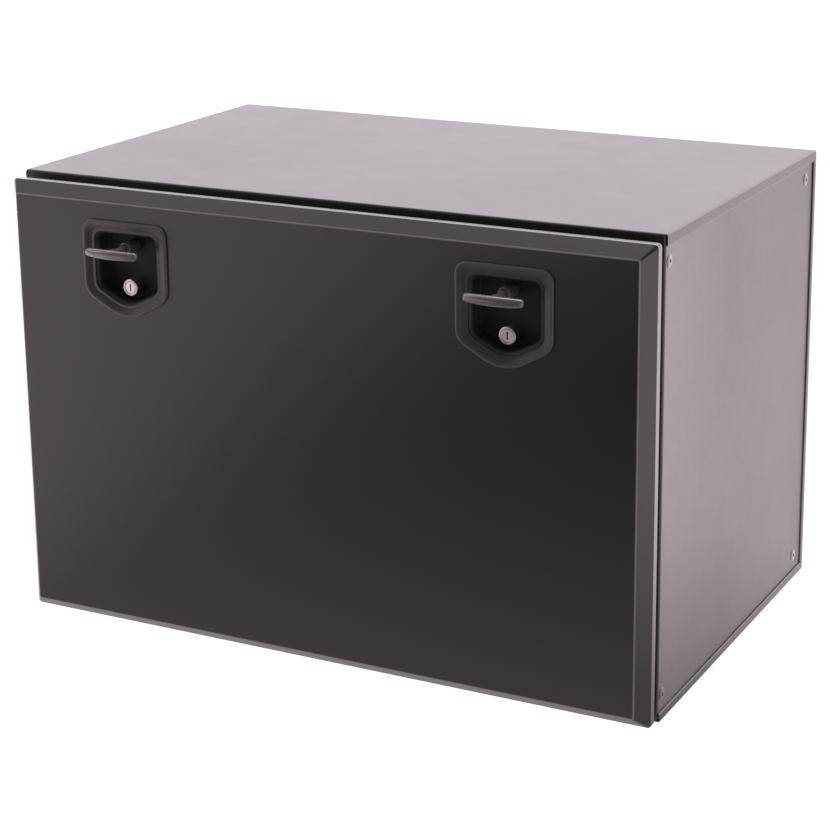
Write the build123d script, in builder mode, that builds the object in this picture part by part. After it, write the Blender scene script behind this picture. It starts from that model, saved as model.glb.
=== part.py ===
from build123d import *
import math
import os

# Steel underbody storage box with a bottom-hinged front door, two T-handle latches
# in shield-shaped dishes, and slotted stays that carry the open door.
# Frame: millimetres, +Z up, the door faces -Y, origin at the middle of the underside.

os.makedirs("parts", exist_ok=True)

# ---------------------------------------------------------------- driving dimensions
WIDTH = 750.0
DEPTH = 460.0  # steel body without the door
HEIGHT = 503.0
SHEET = 2.0  # body sheet
BEND = 4.0  # outer bend radius of the body sheet

TOP_FLANGE = 12.0  # folded strips that frame each end panel
BACK_FLANGE = 8.0
BOTTOM_FLANGE = 10.0

TOP_LIP = 25.0  # folded lips that frame the door opening, from the outside
BOTTOM_LIP = 40.0
SIDE_LIP = 25.0

DOOR_SHEET = 1.5
DOOR_SIDE_GAP = 0.4  # the door outline stands this far inside the body outline
DOOR_BOTTOM = 3.5
DOOR_TOP = 497.5
DOOR_BACK = 244.0  # distances in front of the origin, measured along -Y
DOOR_RIM = 253.0
DOOR_FACE = 267.0
DOOR_BEVEL = 12.0  # how far the bevel comes in from the door outline
DOOR_BEND = 4.0
DOOR_CORNER = 6.0

LINER_SHEET = 1.2
LINER_BACK = 240.0
LINER_INSET = 10.0
LINER_WALL_END = 255.0

HINGE_Y = -235.4
HINGE_Z = 5.5
KNUCKLE_R = 5.0
HINGE_PIN_R = 3.4
RUNNING = 0.05  # radial clearance of a running fit
KNUCKLES = 15
KNUCKLE_PITCH = 46.0
KNUCKLE_GAP = 0.5
LEAF = 1.5
LEAF_TOP = 24.0
RIVET_Z = 18.0

SEAL_SIDE = 10.0  # from the body outline to the outside of the seal
SEAL_BOTTOM = 26.0
SEAL_WIDTH = 12.0
SEAL_FRONT = 239.7

LATCH_X = 221.5
LATCH_Z = 437.0
LOCK_DROP = 44.0  # the lock cylinder's axis below the spindle's axis

STAY_RADIUS = 220.0  # hinge axis to the door pivot, and hinge axis to the wall stud
STAY_SPREAD = 30.0  # degrees between those two radii with the door shut
STAY_PIVOT_Y = -220.0
STAY_PLANE = 342.0  # inner face of the stay bar, from the middle
STAY_SHEET = 3.0
STAY_PIN_R = 4.0

SCREW_FRONT_Y = -220.5
SCREW_BACK_Y = 197.0
SCREW_BOTTOM_Z = 28.0
SCREW_TOP_Z = 475.0

# ---------------------------------------------------------------- worked-out places
FRONT = -DEPTH / 2
BACK = DEPTH / 2
HALF = WIDTH / 2
PANEL_OUT = HALF - SHEET  # outer face of an end panel
PANEL_IN = PANEL_OUT - SHEET
SIDES = {"left": -1, "right": 1}
SCREW_SPOTS = [(y, z) for y in (SCREW_FRONT_Y, SCREW_BACK_Y) for z in (SCREW_BOTTOM_Z, SCREW_TOP_Z)]
HINGE_LENGTH = KNUCKLES * KNUCKLE_PITCH
RIVET_XS = [KNUCKLE_PITCH * (2 * i - 7) for i in range(8)]

pivot_rise = math.sqrt(STAY_RADIUS**2 - (STAY_PIVOT_Y - HINGE_Y) ** 2)
STAY_PIVOT_Z = HINGE_Z + pivot_rise
stud_angle = math.atan2(pivot_rise, STAY_PIVOT_Y - HINGE_Y) - math.radians(STAY_SPREAD)
STUD_Y = HINGE_Y + STAY_RADIUS * math.cos(stud_angle)
STUD_Z = HINGE_Z + STAY_RADIUS * math.sin(stud_angle)
SHUT_REACH = 2 * STAY_RADIUS * math.sin(math.radians(STAY_SPREAD / 2))
OPEN_REACH = 2 * STAY_RADIUS * math.sin(math.radians((STAY_SPREAD + 90) / 2))


# ---------------------------------------------------------------- small helpers
def block(xs, ys, zs, mode=Mode.ADD):
    """Add or cut a rectangular block between two values on each axis."""
    size = [abs(b - a) for a, b in (xs, ys, zs)]
    centre = tuple((a + b) / 2 for a, b in (xs, ys, zs))
    with Locations(centre):
        Box(*size, mode=mode)


def rod(start, direction, length, radius, mode=Mode.ADD):
    """Add or cut a round bar from a start point along a direction."""
    with BuildSketch(Plane(origin=start, z_dir=direction)) as disc:
        Circle(radius)
    extrude(disc.sketch, amount=length, mode=mode)


def prism(start, direction, length, across, mode=Mode.ADD, sides=6):
    """Add or cut a regular bar with the given distance across its flats."""
    with BuildSketch(Plane(origin=start, z_dir=direction)) as outline:
        RegularPolygon(across / 2, sides, major_radius=False)
    extrude(outline.sketch, amount=length, mode=mode)


def facing(x, front, z):
    """Sketch plane that looks at the door: local x is +X, local y is +Z, normal is -Y."""
    return Plane(origin=(x, -front, z), x_dir=(1, 0, 0), z_dir=(0, -1, 0))


def shield(half_width, top, knee, tip, corner, foot, blunt):
    """Shield outline of a latch dish about the spindle: flat top and a blunt point below."""
    with BuildLine() as outline:
        Polyline(
            (-half_width, top), (half_width, top), (half_width, knee), (0, tip), (-half_width, knee),
            close=True,
        )
    make_face(outline.edges())
    fillet(vertices().sort_by(Axis.Y)[1:3], foot)
    fillet(vertices().sort_by(Axis.Y)[0], blunt)
    fillet(vertices().group_by(Axis.Y)[-1], corner)


def save(builder, name):
    """Name a finished piece and write it."""
    builder.part.label = name
    export_step(builder.part, f"parts/{name}.step")


# ---------------------------------------------------------------- body shell
with BuildPart() as body_wrapper:
    with BuildSketch(Plane.YZ.offset(-HALF)):
        with Locations((0, HEIGHT / 2)):
            Rectangle(DEPTH, HEIGHT)
        fillet(vertices().group_by(Axis.X)[-1], BEND)
    extrude(amount=WIDTH)
    block((-PANEL_OUT, PANEL_OUT), (FRONT, BACK - SHEET), (SHEET, HEIGHT - SHEET), Mode.SUBTRACT)
    block((-HALF, HALF), (FRONT, BACK - BACK_FLANGE), (BOTTOM_FLANGE, HEIGHT - TOP_FLANGE), Mode.SUBTRACT)
    block((-PANEL_IN, PANEL_IN), (FRONT, FRONT + SHEET), (HEIGHT - TOP_LIP, HEIGHT - SHEET))
    block((-PANEL_IN, PANEL_IN), (FRONT, FRONT + SHEET), (SHEET, BOTTOM_LIP))
    for x in RIVET_XS:
        rod((x, FRONT, RIVET_Z), (0, 1, 0), SHEET, 2.5, Mode.SUBTRACT)
save(body_wrapper, "body_wrapper")

for side, sign in SIDES.items():
    with BuildPart() as end_panel:
        block((sign * PANEL_IN, sign * PANEL_OUT), (FRONT, BACK - SHEET), (SHEET, HEIGHT - SHEET))
        block(
            (sign * (HALF - SIDE_LIP), sign * PANEL_IN),
            (FRONT, FRONT + SHEET),
            (BOTTOM_LIP, HEIGHT - TOP_LIP),
        )
        for y, z in SCREW_SPOTS:
            rod((sign * PANEL_IN, y, z), (sign, 0, 0), SHEET, 4.5, Mode.SUBTRACT)
    save(end_panel, f"end_panel_{side}")

    with BuildPart() as front_post:
        block((sign * (PANEL_IN - 2), sign * PANEL_IN), (FRONT + SHEET, FRONT + 30), (SHEET, HEIGHT - SHEET))
        block((sign * 351, sign * (PANEL_IN - 2)), (FRONT + 28, FRONT + 30), (SHEET, HEIGHT - SHEET))
        for z in (SCREW_BOTTOM_Z, SCREW_TOP_Z):
            rod((sign * (PANEL_IN - 2), SCREW_FRONT_Y, z), (sign, 0, 0), 2, 4.5, Mode.SUBTRACT)
    save(front_post, f"front_post_{side}")

    with BuildPart() as rear_post:
        block((sign * (PANEL_IN - 2), sign * PANEL_IN), (BACK - 50, BACK - SHEET), (SHEET, HEIGHT - SHEET))
        block((sign * 341, sign * (PANEL_IN - 2)), (BACK - 4, BACK - SHEET), (SHEET, HEIGHT - SHEET))
        for z in (SCREW_BOTTOM_Z, SCREW_TOP_Z):
            rod((sign * (PANEL_IN - 2), SCREW_BACK_Y, z), (sign, 0, 0), 2, 4.5, Mode.SUBTRACT)
    save(rear_post, f"rear_post_{side}")

    # M8 x 16 button-head screws with a 5 mm hexagon socket, and their weld nuts
    with BuildPart() as side_screws:
        for y, z in SCREW_SPOTS:
            with BuildSketch(Plane(origin=(sign * PANEL_OUT, y, z), x_dir=(0, sign, 0), z_dir=(0, 0, 1))):
                with BuildLine():
                    rim = Line((0, 0), (7, 0))
                    edge = Line(rim @ 1, (7, -0.8))
                    dome = ThreePointArc(edge @ 1, (4.6, -3.4), (0, -4.4))
                    Line(dome @ 1, (0, 0))
                make_face()
            revolve(axis=Axis((sign * PANEL_OUT, y, z), (sign, 0, 0)))
            rod((sign * PANEL_OUT, y, z), (-sign, 0, 0), 16, 3.95)
            prism((sign * (PANEL_OUT + 2.4), y, z), (sign, 0, 0), 3, 5, Mode.SUBTRACT)
    save(side_screws, f"side_screws_{side}")

    with BuildPart() as side_nuts:
        for y, z in SCREW_SPOTS:
            prism((sign * (PANEL_IN - 2), y, z), (-sign, 0, 0), 6.8, 13)
            rod((sign * (PANEL_IN - 2), y, z), (-sign, 0, 0), 6.8, 4.0, Mode.SUBTRACT)
    save(side_nuts, f"side_nuts_{side}")

seal_height = HEIGHT - SEAL_SIDE - SEAL_BOTTOM
with BuildPart() as door_seal:
    with BuildSketch(facing(0, -FRONT, SEAL_BOTTOM + seal_height / 2)):
        RectangleRounded(WIDTH - 2 * SEAL_SIDE, seal_height, 20)
        RectangleRounded(WIDTH - 2 * SEAL_SIDE - 2 * SEAL_WIDTH, seal_height - 2 * SEAL_WIDTH, 8,
                         mode=Mode.SUBTRACT)
    extrude(amount=SEAL_FRONT + FRONT)
    fillet(door_seal.faces().sort_by(Axis.Y)[0].edges(), 3)
save(door_seal, "door_seal")


# ---------------------------------------------------------------- piano hinge
def knuckle_row(first):
    """Add every second knuckle of the hinge, starting with the given one."""
    for i in range(first, KNUCKLES, 2):
        start = -HINGE_LENGTH / 2 + i * KNUCKLE_PITCH + KNUCKLE_GAP / 2
        rod((start, HINGE_Y, HINGE_Z), (1, 0, 0), KNUCKLE_PITCH - KNUCKLE_GAP, KNUCKLE_R)


def clear_knuckles(first, ys):
    """Cut a leaf back where the other leaf's knuckles turn, and bore the pin hole."""
    for i in range(first, KNUCKLES, 2):
        start = -HINGE_LENGTH / 2 + i * KNUCKLE_PITCH - KNUCKLE_GAP / 2
        block((start, start + KNUCKLE_PITCH + KNUCKLE_GAP), ys, (0, HINGE_Z + KNUCKLE_R + 0.5), Mode.SUBTRACT)
    rod((-HINGE_LENGTH / 2, HINGE_Y, HINGE_Z), (1, 0, 0), HINGE_LENGTH, HINGE_PIN_R + RUNNING, Mode.SUBTRACT)


with BuildPart() as hinge_body_leaf:
    block((-HINGE_LENGTH / 2, HINGE_LENGTH / 2), (FRONT - LEAF, FRONT), (HINGE_Z, LEAF_TOP))
    knuckle_row(0)
    clear_knuckles(1, (FRONT - LEAF, FRONT))
    for x in RIVET_XS:
        rod((x, FRONT - LEAF, RIVET_Z), (0, 1, 0), LEAF, 2.5, Mode.SUBTRACT)
save(hinge_body_leaf, "hinge_body_leaf")

with BuildPart() as hinge_door_leaf:
    block((-HINGE_LENGTH / 2, HINGE_LENGTH / 2), (-LINER_BACK, LEAF - LINER_BACK), (HINGE_Z, LEAF_TOP))
    knuckle_row(1)
    clear_knuckles(0, (-LINER_BACK, LEAF - LINER_BACK))
    for x in RIVET_XS:
        rod((x, -LINER_BACK, RIVET_Z), (0, 1, 0), LEAF, 2.5, Mode.SUBTRACT)
save(hinge_door_leaf, "hinge_door_leaf")

with BuildPart() as hinge_pin:
    rod((-HINGE_LENGTH / 2, HINGE_Y, HINGE_Z), (1, 0, 0), HINGE_LENGTH, HINGE_PIN_R)
save(hinge_pin, "hinge_pin")


def rivet_row(head_y, direction, grip):
    """Add pop rivets whose domed heads sit on the leaf at head_y."""
    for x in RIVET_XS:
        rod((x, head_y, RIVET_Z), (0, direction, 0), grip + 1.8, 2.4)
        rod((x, head_y, RIVET_Z), (0, -direction, 0), 1.4, 4.6)
        rod((x, head_y + direction * grip, RIVET_Z), (0, direction, 0), 1.8, 3.4)


with BuildPart() as hinge_rivets_body:
    rivet_row(FRONT - LEAF, 1, LEAF + SHEET)
save(hinge_rivets_body, "hinge_rivets_body")

with BuildPart() as hinge_rivets_door:
    rivet_row(LEAF - LINER_BACK, -1, LEAF + LINER_SHEET)
save(hinge_rivets_door, "hinge_rivets_door")

# ---------------------------------------------------------------- door
door_width = WIDTH - 2 * DOOR_SIDE_GAP
door_height = DOOR_TOP - DOOR_BOTTOM
door_middle = (DOOR_TOP + DOOR_BOTTOM) / 2


def door_form(inset, back, rim, face, bend):
    """Add a tray form: upright rim, then a mitred bevel up to the raised field."""
    width = door_width - 2 * inset
    height = door_height - 2 * inset
    run = (face - rim) * DOOR_BEVEL / (DOOR_FACE - DOOR_RIM)
    with BuildSketch(facing(0, back, door_middle)) as edge:
        Rectangle(width, height)
    extrude(edge.sketch, amount=rim - back)
    with BuildSketch(facing(0, rim, door_middle)) as low:
        Rectangle(width, height)
    with BuildSketch(facing(0, face, door_middle)) as high:
        Rectangle(width - 2 * run, height - 2 * run)
    loft([low.sketch, high.sketch], ruled=True)
    field = faces().filter_by(Plane.XZ).sort_by(Axis.Y)[0]
    fillet(field.edges(), bend)
    upright = edges().filter_by(Axis.Y)
    fillet(upright, DOOR_CORNER - inset)


inner_drop = DOOR_SHEET * math.tan(math.atan2(DOOR_FACE - DOOR_RIM, DOOR_BEVEL) / 2)
with BuildPart() as door_core:
    door_form(DOOR_SHEET, DOOR_BACK, DOOR_RIM - inner_drop, DOOR_FACE - DOOR_SHEET, DOOR_BEND - DOOR_SHEET)

with BuildPart() as door_skin:
    door_form(0, DOOR_BACK, DOOR_RIM, DOOR_FACE, DOOR_BEND)
    add(door_core.part, mode=Mode.SUBTRACT)
    for sign in SIDES.values():
        with BuildSketch(facing(sign * LATCH_X, DOOR_FACE - 5, LATCH_Z)):
            shield(39.5, 16.7, -45.8, -66.8, 10, 13, 33)
        extrude(amount=6, mode=Mode.SUBTRACT)
save(door_skin, "door_skin")

liner_low = DOOR_BOTTOM + 6
liner_high = DOOR_TOP - 6
with BuildPart() as door_liner:
    with BuildSketch(facing(0, LINER_BACK, (liner_low + liner_high) / 2)):
        RectangleRounded(WIDTH - 2 * LINER_INSET, liner_high - liner_low, 4)
    extrude(amount=LINER_WALL_END - LINER_BACK)
    block(
        (LINER_INSET + LINER_SHEET - HALF, HALF - LINER_INSET - LINER_SHEET),
        (-LINER_WALL_END, -LINER_BACK - LINER_SHEET),
        (liner_low + LINER_SHEET, liner_high - LINER_SHEET),
        Mode.SUBTRACT,
    )
    for sign in SIDES.values():
        rod((sign * LATCH_X, -LINER_WALL_END, LATCH_Z), (0, 1, 0), 20, 9, Mode.SUBTRACT)
        rod((sign * LATCH_X, -LINER_WALL_END, LATCH_Z - LOCK_DROP), (0, 1, 0), 20, 9, Mode.SUBTRACT)
    for x in RIVET_XS:
        rod((x, -LINER_BACK - LINER_SHEET, RIVET_Z), (0, 1, 0), LINER_SHEET, 2.5, Mode.SUBTRACT)
save(door_liner, "door_liner")

for side, sign in SIDES.items():
    with BuildPart() as door_stiffener:
        skin_side = LINER_BACK + LINER_SHEET - DOOR_FACE + DOOR_SHEET
        for x in (sign * 120 - 20, sign * 120 + 18.8):
            block((x, x + 1.2), (DOOR_SHEET - DOOR_FACE, DOOR_SHEET - DOOR_FACE - skin_side), (40, 455))
        block((sign * 120 - 20, sign * 120 + 20), (DOOR_SHEET - DOOR_FACE, 2.7 - DOOR_FACE), (40, 455))
    save(door_stiffener, f"door_stiffener_{side}")

# ---------------------------------------------------------------- latches
FLANGE_FRONT = DOOR_FACE + 3.2
POCKET_FLOOR = 247.0
POCKET_BACK = 245.0
BAR_FRONT = 294.0  # middle of the T-bar
FOLD_FRONT = 264.0  # fold pin
BAR_HALF = 32.0
BOSS_R = 7.0
LOCK_FACE = 261.0
BEZEL_R = 9.2
CAM_FRONT = 227.0
CAM_THICK = 4.0
LOCK_Z = LATCH_Z - LOCK_DROP

for side, sign in SIDES.items():
    centre = sign * LATCH_X

    # pressed dish: raised bead, soft slope, pocket walls and floor
    with BuildPart() as latch_dish:
        with BuildSketch(facing(centre, DOOR_FACE, LATCH_Z)):
            shield(53, 29, -52, -81, 13, 20, 45)
        extrude(amount=FLANGE_FRONT - DOOR_FACE)
        fillet(faces().sort_by(Axis.Y)[0].edges(), 2)
        with BuildSketch(facing(centre, POCKET_BACK, LATCH_Z)):
            shield(38.5, 15.7, -45.3, -65.4, 9, 12, 32)
        extrude(amount=FLANGE_FRONT - 1 - POCKET_BACK)
        with BuildSketch(facing(centre, POCKET_FLOOR, LATCH_Z)):
            shield(36.5, 13.7, -44.5, -63, 7, 10, 30)
        extrude(amount=FLANGE_FRONT - POCKET_FLOOR, mode=Mode.SUBTRACT)
        with BuildSketch(facing(centre, FLANGE_FRONT, LATCH_Z)):
            shield(47, 24, -49, -75, 11, 17, 40)
        with BuildSketch(facing(centre, FLANGE_FRONT - 3.4, LATCH_Z)):
            shield(37, 14.2, -44.7, -63.5, 7.2, 10.2, 30.5)
        loft(ruled=True, mode=Mode.SUBTRACT)
        rod((centre, -POCKET_FLOOR, LATCH_Z), (0, 1, 0), 2, 5 + RUNNING, Mode.SUBTRACT)
        rod((centre, -POCKET_FLOOR, LOCK_Z), (0, 1, 0), 2, 8.0, Mode.SUBTRACT)
    save(latch_dish, f"latch_dish_{side}")

    # clamp plate inside the door, and the rubber spacers between it and the dish
    with BuildPart() as dish_clamp:
        with BuildSketch(facing(centre, POCKET_BACK - 3.2, LATCH_Z)):
            with Locations((0, -22)):
                RectangleRounded(60, 60, 5)
            Circle(9, mode=Mode.SUBTRACT)
            with Locations((0, -LOCK_DROP)):
                Circle(11.5, mode=Mode.SUBTRACT)
        extrude(amount=2)
    save(dish_clamp, f"dish_clamp_{side}")

    with BuildPart() as dish_spacers:
        for x, z in [(centre + dx, LATCH_Z + dz) for dx in (-24, 24) for dz in (2, -36)]:
            rod((x, -POCKET_BACK, z), (0, 1, 0), 1.2, 5)
    save(dish_spacers, f"dish_spacers_{side}")

    # spindle: clevis boss in the pocket, journal in the dish, square collar, square end, thread
    with BuildPart() as latch_spindle:
        rod((centre, -FOLD_FRONT - 5, LATCH_Z), (0, 1, 0), FOLD_FRONT + 5 - POCKET_FLOOR - 0.4, BOSS_R)
        fillet(faces().sort_by(Axis.Y)[0].edges(), 2)
        rod((centre, -POCKET_FLOOR - 1, LATCH_Z), (0, 1, 0), POCKET_FLOOR + 1 - 238, 5)
        block((centre - 9, centre + 9), (-238.5, -234), (LATCH_Z - 9, LATCH_Z + 9))
        block((centre - 4.5, centre + 4.5), (-234, CAM_THICK - CAM_FRONT), (LATCH_Z - 4.5, LATCH_Z + 4.5))
        rod((centre, CAM_THICK - CAM_FRONT, LATCH_Z), (0, 1, 0), 10, 3.95)
        block((centre - 2.8, centre + 2.8), (-FOLD_FRONT - 6, -FOLD_FRONT + 5), (LATCH_Z - 8, LATCH_Z + 4.6),
              Mode.SUBTRACT)
        rod((centre - 8, -FOLD_FRONT, LATCH_Z), (1, 0, 0), 16, 1.6, Mode.SUBTRACT)
    save(latch_spindle, f"latch_spindle_{side}")

    with BuildPart() as fold_pin:
        rod((centre - 6.6, -FOLD_FRONT, LATCH_Z), (1, 0, 0), 13.2, 1.6)
    save(fold_pin, f"fold_pin_{side}")

    # T-handle: flat tang on the fold pin, round stem, bowed bar
    with BuildPart() as t_handle:
        with BuildSketch(Plane.YZ.offset(centre - 2.4)):
            with Locations((-FOLD_FRONT, LATCH_Z)):
                Circle(3.8)
            with Locations((-FOLD_FRONT - 5, LATCH_Z)):
                Rectangle(10, 7.6)
            with Locations((-FOLD_FRONT, LATCH_Z)):
                Circle(1.6 + RUNNING, mode=Mode.SUBTRACT)
        extrude(amount=4.8)
        rod((centre, -FOLD_FRONT - 9.2, LATCH_Z), (0, -1, 0), BAR_FRONT - FOLD_FRONT - 9.2, 3.8)
        with BuildLine() as bar_line:
            ThreePointArc(
                (centre - BAR_HALF + 5, 3.0 - BAR_FRONT, LATCH_Z),
                (centre, -BAR_FRONT, LATCH_Z),
                (centre + BAR_HALF - 5, 3.0 - BAR_FRONT, LATCH_Z),
            )
        with BuildSketch(Plane(origin=bar_line.line @ 0, z_dir=bar_line.line % 0)):
            Circle(5.6)
        sweep()
        with Locations(bar_line.line @ 0, bar_line.line @ 1):
            Sphere(5.6)
    save(t_handle, f"t_handle_{side}")

    # locking tongue on the square end: at rest it points to the middle, clear of the top lip
    with BuildPart() as latch_cam:
        with BuildSketch(facing(centre, CAM_FRONT - CAM_THICK, LATCH_Z)):
            Circle(14)
            with Locations((-sign * 24, 0)):
                Rectangle(48, 22)
            with Locations((-sign * 46, 0)):
                RectangleRounded(10, 22, 3)
            Rectangle(9, 9, mode=Mode.SUBTRACT)
        extrude(amount=CAM_THICK)
    save(latch_cam, f"latch_cam_{side}")

    with BuildPart() as cam_nut:
        prism((centre, CAM_THICK - CAM_FRONT, LATCH_Z), (0, 1, 0), 6.8, 13)
        rod((centre, CAM_THICK - CAM_FRONT, LATCH_Z), (0, 1, 0), 6.8, 4.0, Mode.SUBTRACT)
    save(cam_nut, f"cam_nut_{side}")

    # lock cylinder: bezel in the pocket, body through the dish and the liner
    with BuildPart() as lock_cylinder:
        rod((centre, -LOCK_FACE, LOCK_Z), (0, 1, 0), LOCK_FACE - POCKET_FLOOR, BEZEL_R)
        fillet(faces().sort_by(Axis.Y)[0].edges(), 0.8)
        rod((centre, -POCKET_FLOOR, LOCK_Z), (0, 1, 0), POCKET_FLOOR - 239.5, 7.95)
        rod((centre, -LOCK_FACE, LOCK_Z), (0, 1, 0), LOCK_FACE - 239.5, 6 + RUNNING, Mode.SUBTRACT)
    save(lock_cylinder, f"lock_cylinder_{side}")

    with BuildPart() as lock_nut:
        rod((centre, -POCKET_BACK, LOCK_Z), (0, 1, 0), 3, 11)
        rod((centre, -POCKET_BACK, LOCK_Z), (0, 1, 0), 3, 8.0, Mode.SUBTRACT)
    save(lock_nut, f"lock_nut_{side}")

    with BuildPart() as lock_plug:
        rod((centre, 0.3 - LOCK_FACE, LOCK_Z), (0, 1, 0), LOCK_FACE - 0.3 - 239.5, 6)
        rod((centre, -239.5, LOCK_Z), (0, 1, 0), 6, 3)
        block((centre - 0.8, centre + 0.8), (-LOCK_FACE, 8 - LOCK_FACE), (LOCK_Z - 4, LOCK_Z + 4), Mode.SUBTRACT)
    save(lock_plug, f"lock_plug_{side}")

    # pawl on the plug: turned up, its flat end stands against the spindle's square collar
    with BuildPart() as lock_pawl:
        with BuildSketch(facing(centre, 235.5, LOCK_Z)):
            Circle(7)
            with Locations((sign * 17, 0)):
                Rectangle(34, 10)
            Circle(3, mode=Mode.SUBTRACT)
        extrude(amount=3)
    save(lock_pawl, f"lock_pawl_{side}")

# ---------------------------------------------------------------- door stays
bar_tail = OPEN_REACH + 14
slot_reach = (OPEN_REACH + SHUT_REACH) / 2
slope = math.degrees(math.atan2(STUD_Z - STAY_PIVOT_Z, STUD_Y - STAY_PIVOT_Y))
for side, sign in SIDES.items():
    inner = sign * STAY_PLANE
    outer = sign * (STAY_PLANE + STAY_SHEET)

    # the bar lies along the line from the door pivot to the wall stud
    stay_plane = Plane(
        origin=(min(inner, outer), STAY_PIVOT_Y, STAY_PIVOT_Z),
        x_dir=(0, math.cos(math.radians(slope)), math.sin(math.radians(slope))),
        z_dir=(1, 0, 0),
    )
    with BuildPart() as stay_bar:
        with BuildSketch(stay_plane):
            with Locations((bar_tail / 2, 0)):
                SlotCenterToCenter(bar_tail, 20)
            Circle(STAY_PIN_R + RUNNING, mode=Mode.SUBTRACT)
            with Locations((slot_reach, 0)):
                SlotCenterToCenter(OPEN_REACH - SHUT_REACH + 1, 2 * STAY_PIN_R + 1, mode=Mode.SUBTRACT)
        extrude(amount=STAY_SHEET)
    save(stay_bar, f"stay_bar_{side}")

    with BuildPart() as stay_bracket:
        block((inner - sign * 22, inner - sign), (-LINER_BACK, 3 - LINER_BACK),
              (STAY_PIVOT_Z - 22, STAY_PIVOT_Z + 22))
        block((inner - sign * 4, inner - sign), (-LINER_BACK, STAY_PIVOT_Y + 9),
              (STAY_PIVOT_Z - 13, STAY_PIVOT_Z + 13))
        rod((inner - sign * 5, STAY_PIVOT_Y, STAY_PIVOT_Z), (sign, 0, 0), 5, STAY_PIN_R, Mode.SUBTRACT)
    save(stay_bracket, f"stay_bracket_{side}")

    with BuildPart() as stay_pivot:
        rod((inner - sign * 4, STAY_PIVOT_Y, STAY_PIVOT_Z), (sign, 0, 0), STAY_SHEET + 4.5, STAY_PIN_R)
        rod((outer + sign * 0.5, STAY_PIVOT_Y, STAY_PIVOT_Z), (sign, 0, 0), 2, 7)
        rod((inner - sign * 4, STAY_PIVOT_Y, STAY_PIVOT_Z), (-sign, 0, 0), 2, 6)
    save(stay_pivot, f"stay_pivot_{side}")

    with BuildPart() as stay_stud:
        rod((sign * PANEL_IN, STUD_Y, STUD_Z), (-sign, 0, 0), PANEL_IN - abs(outer) - 0.5, 7)
        rod((sign * PANEL_IN, STUD_Y, STUD_Z), (-sign, 0, 0), PANEL_IN - STAY_PLANE + 0.5, STAY_PIN_R)
        rod((inner - sign * 0.5, STUD_Y, STUD_Z), (-sign, 0, 0), 3, 8)
    save(stay_stud, f"stay_stud_{side}")
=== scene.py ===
import logging
import math
from dataclasses import dataclass, field
from enum import Enum
from typing import Iterable, Sequence

import bmesh
import bpy
from mathutils import Matrix, Vector


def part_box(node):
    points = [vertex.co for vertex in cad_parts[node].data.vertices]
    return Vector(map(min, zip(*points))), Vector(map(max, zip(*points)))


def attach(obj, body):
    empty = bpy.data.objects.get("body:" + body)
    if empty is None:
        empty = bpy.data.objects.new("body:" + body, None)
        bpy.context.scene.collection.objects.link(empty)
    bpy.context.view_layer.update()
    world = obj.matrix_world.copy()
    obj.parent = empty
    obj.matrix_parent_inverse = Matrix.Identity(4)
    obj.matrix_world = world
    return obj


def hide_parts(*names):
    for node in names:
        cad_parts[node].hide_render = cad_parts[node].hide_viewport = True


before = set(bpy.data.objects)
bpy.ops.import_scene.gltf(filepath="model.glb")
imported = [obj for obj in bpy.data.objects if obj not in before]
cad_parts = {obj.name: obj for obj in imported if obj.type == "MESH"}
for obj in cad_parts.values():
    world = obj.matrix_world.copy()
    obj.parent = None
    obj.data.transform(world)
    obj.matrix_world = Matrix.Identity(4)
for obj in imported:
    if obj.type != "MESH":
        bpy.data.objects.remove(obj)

log = logging.getLogger("storage_box")
MM = 0.001
SIDES = {"left": -1, "right": 1}
SKY_TINT = (1.0, 0.93, 1.0, 1.0)
FLOOR_TINT = (1.0, 0.88, 0.94, 1.0)
EDGE = "edge"  # point attribute: 1 where the sheet is bent or cut, 0 on the flats
Point = tuple[float, float]


# ------------------------------------------------------------------ shader graph helpers
class Value:
    """A shader socket that takes part in Python expressions."""

    def __init__(self, graph: "Graph", socket: bpy.types.NodeSocket) -> None:
        """Remember the graph that new Math nodes go into."""
        self.graph = graph
        self.socket = socket

    def _math(self, operation: str, first: object, second: object = 0.0) -> "Value":
        """Add one Math node.

        Args:
            operation: Name of the Math node's operation.
            first: Number or Value for the first socket.
            second: Number or Value for the second socket.

        Returns:
            The node's result.
        """
        return self.graph.node("ShaderNodeMath", {"operation": operation}, {0: first, 1: second})

    def __add__(self, other: object) -> "Value":
        """Sum."""
        return self._math("ADD", self, other)

    def __sub__(self, other: object) -> "Value":
        """Difference."""
        return self._math("SUBTRACT", self, other)

    def __rsub__(self, other: object) -> "Value":
        """Difference from a number."""
        return self._math("SUBTRACT", other, self)

    def __mul__(self, other: object) -> "Value":
        """Product."""
        return self._math("MULTIPLY", self, other)

    __radd__ = __add__
    __rmul__ = __mul__


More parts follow.
